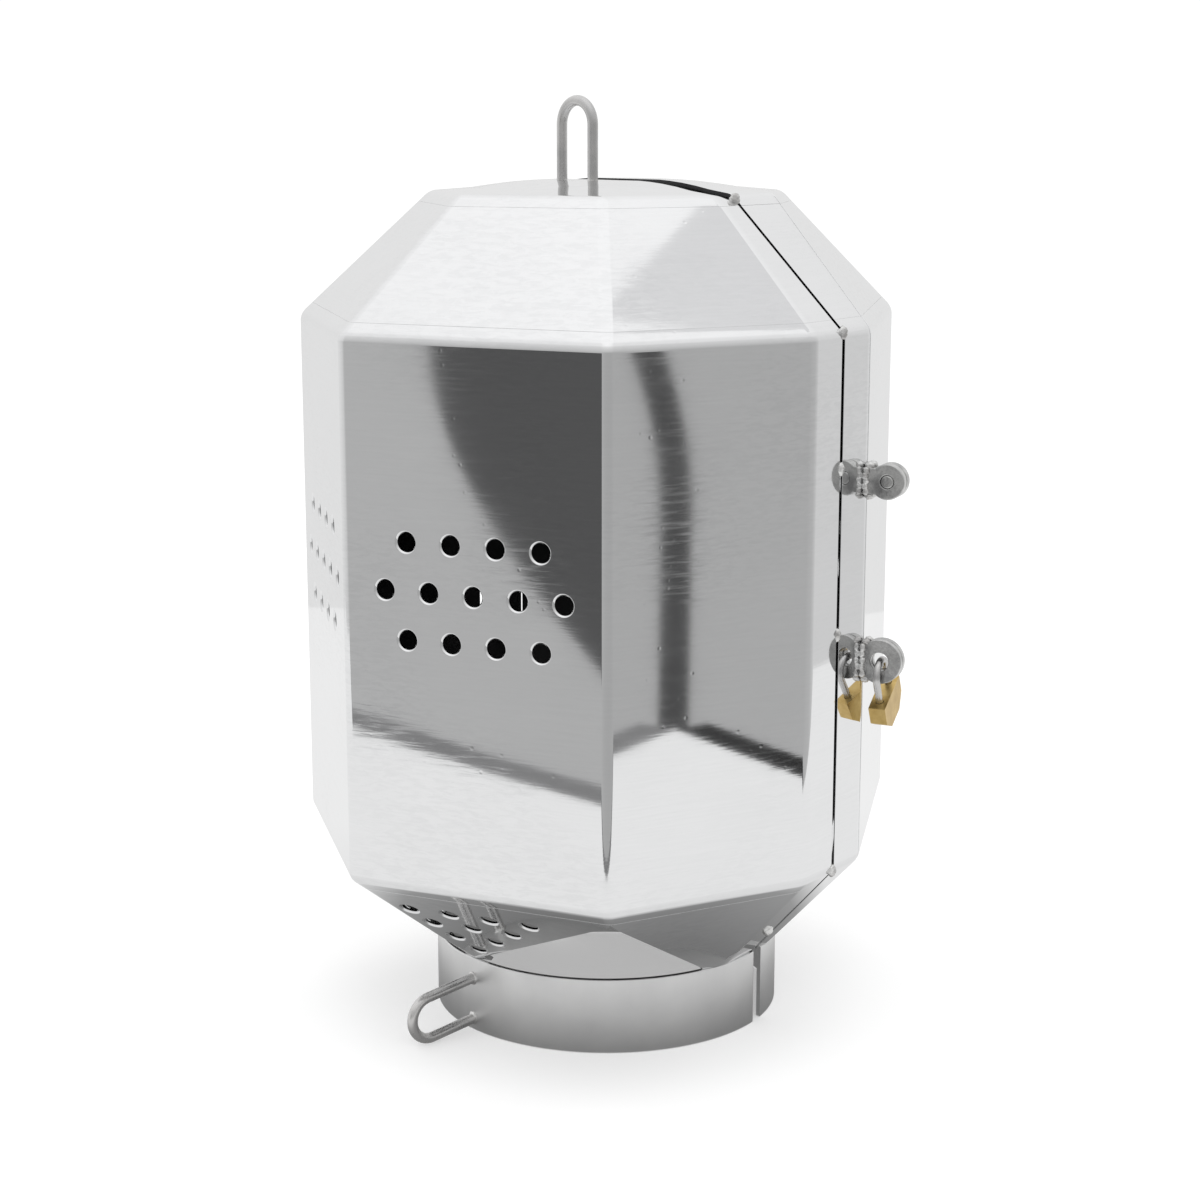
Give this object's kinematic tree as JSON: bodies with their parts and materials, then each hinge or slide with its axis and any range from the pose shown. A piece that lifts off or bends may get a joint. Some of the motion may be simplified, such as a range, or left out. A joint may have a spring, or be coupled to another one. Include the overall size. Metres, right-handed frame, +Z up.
{
  "type": "lockable steel head casing",
  "caption": "Faceted sheet-steel head casing on a round collar, with a hinged rear door, wire loops, air holes and a padlock.",
  "frame": {"origin": "under the middle of the whole object's bounding box, at the level that the collar stands on; the casing's own upright axis is 2.6 mm to -X and 4.25 mm to -Y of it", "axes": "+Z up, -Y the front corner with the collar loop, +X the lock side"},
  "size_m": [0.2308, 0.2466, 0.3564],
  "materials": {
    "polished_steel": "mirror-polished stainless sheet with fine grinding lines",
    "satin_steel": "brushed stainless",
    "plain_steel": "ground and welded stainless",
    "shackle_steel": "plated wire",
    "brass": "satin brass"
  },
  "bodies": {
    "front": {"front_wall": "polished_steel", "front_roof": "polished_steel", "front_cap": "polished_steel", "chin_panel": "polished_steel", "side_skirt_lock_side": "polished_steel", "side_skirt_hinge_side": "plain_steel", "front_collar": "satin_steel", "band_wall_lock_side": "polished_steel", "band_wall_hinge_side": "plain_steel", "band_roof_lock_side": "polished_steel", "band_roof_hinge_side": "plain_steel", "band_cap": "polished_steel", "band_skirt_lock_side": "polished_steel", "band_skirt_hinge_side": "plain_steel", "gap_tacks_lock_side": "plain_steel", "gap_tacks_hinge_side": "plain_steel", "top_loop": "satin_steel", "collar_loop": "satin_steel", "upper_lug_front": "plain_steel", "lower_lug_front": "plain_steel", "locating_pin": "plain_steel", "hinge_1_front_barrel": "plain_steel", "hinge_1_pin": "plain_steel", "hinge_2_front_barrel": "plain_steel", "hinge_2_pin": "plain_steel"},
    "door": {"door_wall": "polished_steel", "door_roof": "polished_steel", "door_cap": "polished_steel", "door_skirt": "polished_steel", "door_collar": "satin_steel", "upper_lug_door": "plain_steel", "lower_lug_door": "plain_steel", "hinge_1_door_barrel": "plain_steel", "hinge_2_door_barrel": "plain_steel"},
    "shackle": {"shackle": "shackle_steel"},
    "lock_body": {"padlock_body": "brass"},
    "plug": {"key_plug": "brass"}
  },
  "joints": [
    {"name": "door_swing", "type": "hinge", "parent": "front", "child": "door", "pos_m": [-0.11035, 0.04108, 0.173], "axis": [0, 0, 1], "range_deg": [0, 110]},
    {"name": "padlock_swing", "type": "hinge", "parent": "front", "child": "shackle", "pos_m": [0.1065, 0.04171, 0.1505], "axis": [0.4339, -0.901, 0], "range_deg": [-3, 95]},
    {"name": "padlock_drop", "type": "slide", "parent": "shackle", "child": "lock_body", "axis": [-0.2037, 0.423, -0.8829], "range_m": [0, 0.007]},
    {"name": "plug_turn", "type": "hinge", "parent": "lock_body", "child": "plug", "pos_m": [0.10253, 0.04995, 0.12865], "axis": [0.2037, -0.423, 0.8829], "range_deg": [0, 90]}
  ]
}
